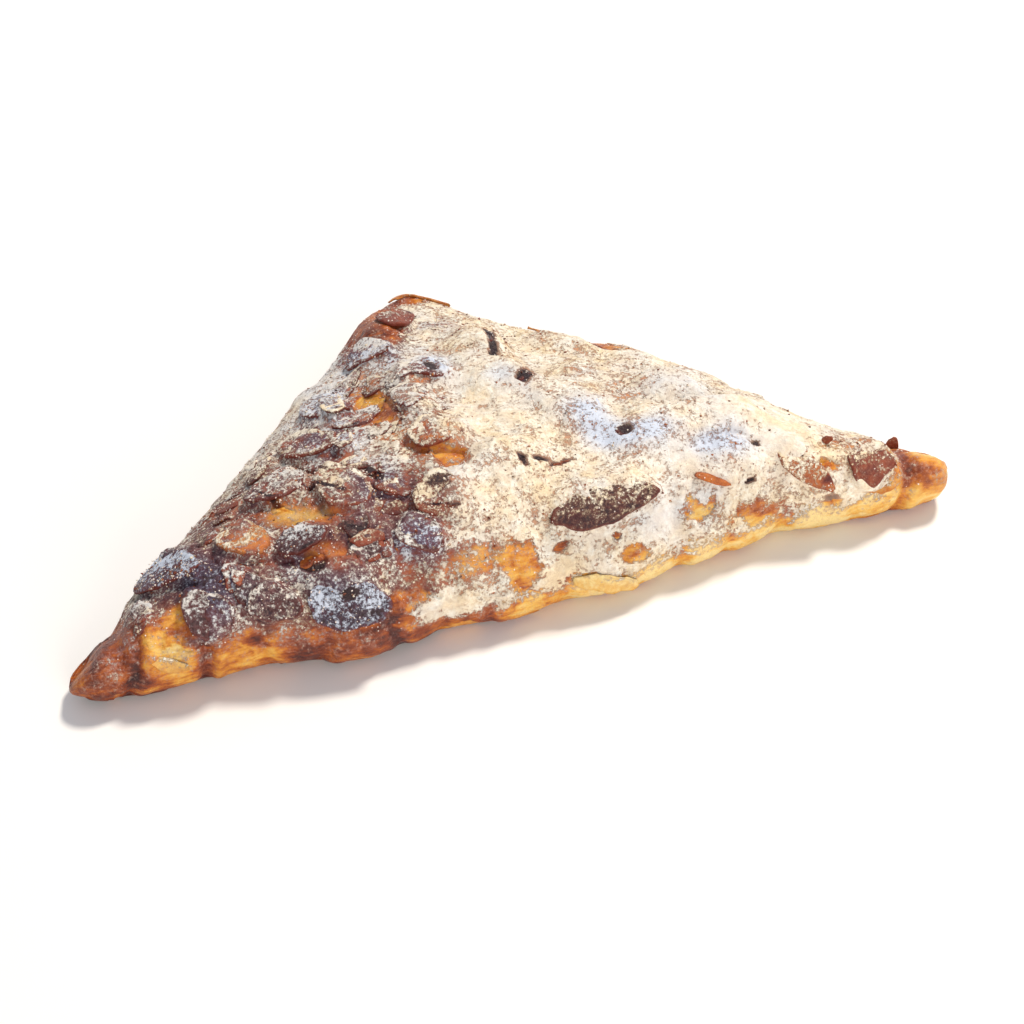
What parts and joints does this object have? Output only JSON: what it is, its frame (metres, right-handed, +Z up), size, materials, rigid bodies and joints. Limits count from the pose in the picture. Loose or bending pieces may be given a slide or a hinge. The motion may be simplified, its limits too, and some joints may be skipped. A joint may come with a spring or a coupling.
{
  "type": "turnover pastry",
  "caption": "Baked triangular turnover of folded puff pastry, topped with toasted almond slices and powdered sugar.",
  "frame": {"origin": "middle of the box's underside, on the surface that the pastry rests on", "axes": "+X along the folded edge towards the blunter tip, +Y from the folded edge to the right-angled corner, +Z up through the crown"},
  "size_m": [0.16, 0.0875, 0.026],
  "materials": {
    "baked_crust": "baked, egg-washed puff pastry: golden at the fold, brown at the tips and ridges, satin",
    "toasted_almond": "toasted flaked almond: orange-brown to dark brown, satin, dusted with sugar",
    "powdered_sugar": "powdered sugar baked on and dusted over: cream to bluish white, matt, grainy"
  },
  "bodies": {
    "root": {"crust": "baked_crust", "almond_arch": "toasted_almond", "almond_back_crack": "toasted_almond", "almond_back_edge": "toasted_almond", "almond_back_left": "toasted_almond", "almond_back_right": "toasted_almond", "almond_back_small": "toasted_almond", "almond_corner": "toasted_almond", "almond_front_round": "toasted_almond", "almond_great": "toasted_almond", "almond_left_dark": "toasted_almond", "almond_left_gold": "toasted_almond", "almond_left_high": "toasted_almond", "almond_left_low": "toasted_almond", "almond_left_mid": "toasted_almond", "almond_middle": "toasted_almond", "almond_middle_left": "toasted_almond", "almond_pale": "toasted_almond", "almond_ridge": "toasted_almond", "almond_right_back": "toasted_almond", "almond_right_bump": "toasted_almond", "almond_right_dark": "toasted_almond", "almond_right_high": "toasted_almond", "almond_right_long": "toasted_almond", "almond_right_mid": "toasted_almond", "almond_sliver": "toasted_almond", "almond_smooth": "toasted_almond", "almond_tail_edge": "toasted_almond", "almond_tail_fold": "toasted_almond", "almond_tail_low": "toasted_almond"}
  },
  "joints": []
}
